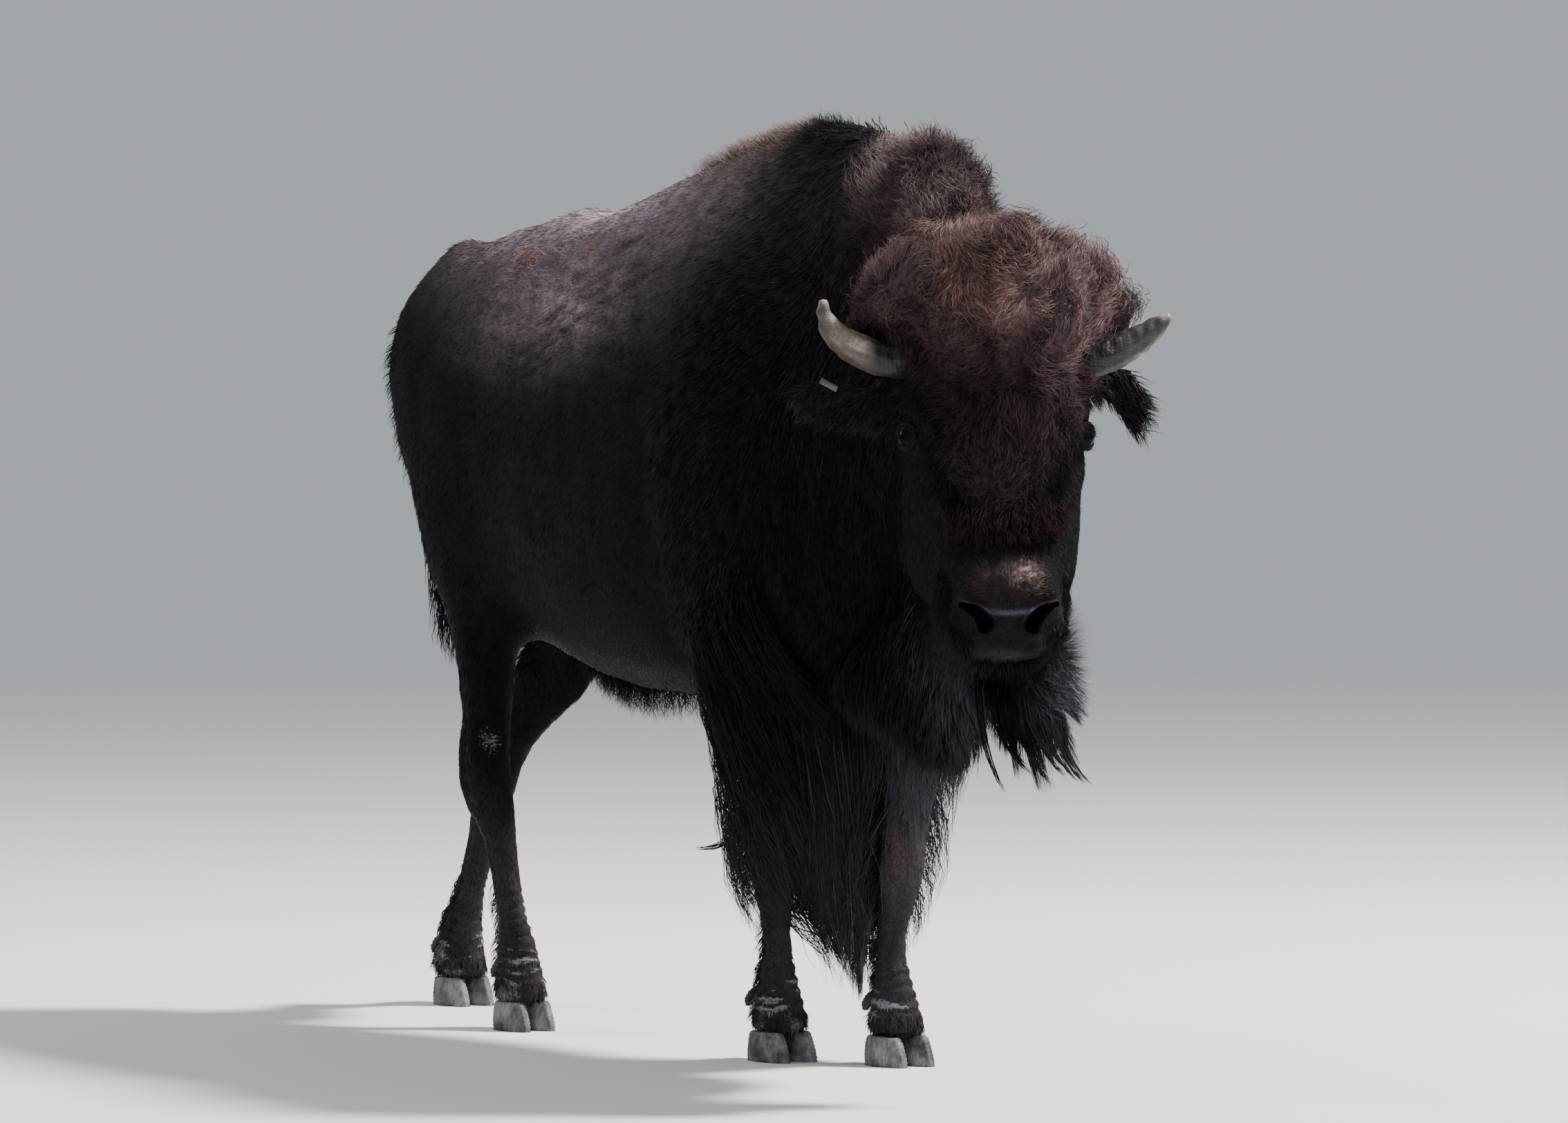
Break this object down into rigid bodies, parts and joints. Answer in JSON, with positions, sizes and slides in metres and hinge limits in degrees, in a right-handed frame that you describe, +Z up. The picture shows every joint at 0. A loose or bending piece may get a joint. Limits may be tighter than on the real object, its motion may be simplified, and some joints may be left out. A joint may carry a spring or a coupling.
{
  "type": "american bison, still model",
  "caption": "Life-size plains bison in mid stride with its head turned, a still display model that stands on its own hooves",
  "frame": {"origin": "middle of the bounding box, at the level of the hoof soles", "axes": "+Z up, the animal faces -Y, its right side is -X"},
  "size_m": [0.6682, 2.4768, 1.6541],
  "materials": {
    "coat": "short smooth coat, near black-brown",
    "wool": "dense frizzy wool, warm brown",
    "long_hair": "long hanging hair, black",
    "horn": "worn grey-tan horn, ridged at the root",
    "hoof": "dusty grey horn",
    "eye": "wet dark brown",
    "tag": "bare scuffed metal"
  },
  "bodies": {
    "root": {"trunk": "coat", "neck": "coat", "head": "coat", "tail": "coat", "foreleg_upper_right": "coat", "foreleg_upper_left": "coat", "foreleg_lower_right": "coat", "foreleg_lower_left": "coat", "hindleg_upper_right": "coat", "hindleg_upper_left": "coat", "hindleg_lower_right": "coat", "hindleg_lower_left": "coat", "ear_right": "coat", "ear_left": "coat", "horn_right": "horn", "horn_left": "horn", "eye_right": "eye", "eye_left": "eye", "claw_fore_right_right": "hoof", "claw_fore_right_left": "hoof", "dewclaw_fore_right_right": "hoof", "dewclaw_fore_right_left": "hoof", "claw_fore_left_right": "hoof", "claw_fore_left_left": "hoof", "dewclaw_fore_left_right": "hoof", "dewclaw_fore_left_left": "hoof", "claw_hind_right_right": "hoof", "claw_hind_right_left": "hoof", "dewclaw_hind_right_right": "hoof", "dewclaw_hind_right_left": "hoof", "claw_hind_left_right": "hoof", "claw_hind_left_left": "hoof", "dewclaw_hind_left_right": "hoof", "dewclaw_hind_left_left": "hoof", "crown_mop": "wool", "throat_mane": "long_hair", "neck_mane": "wool", "beard": "long_hair", "pantaloon_right": "long_hair", "pantaloon_left": "long_hair", "belly_fringe": "long_hair", "tail_switch": "long_hair", "ear_tag": "tag"}
  },
  "joints": []
}
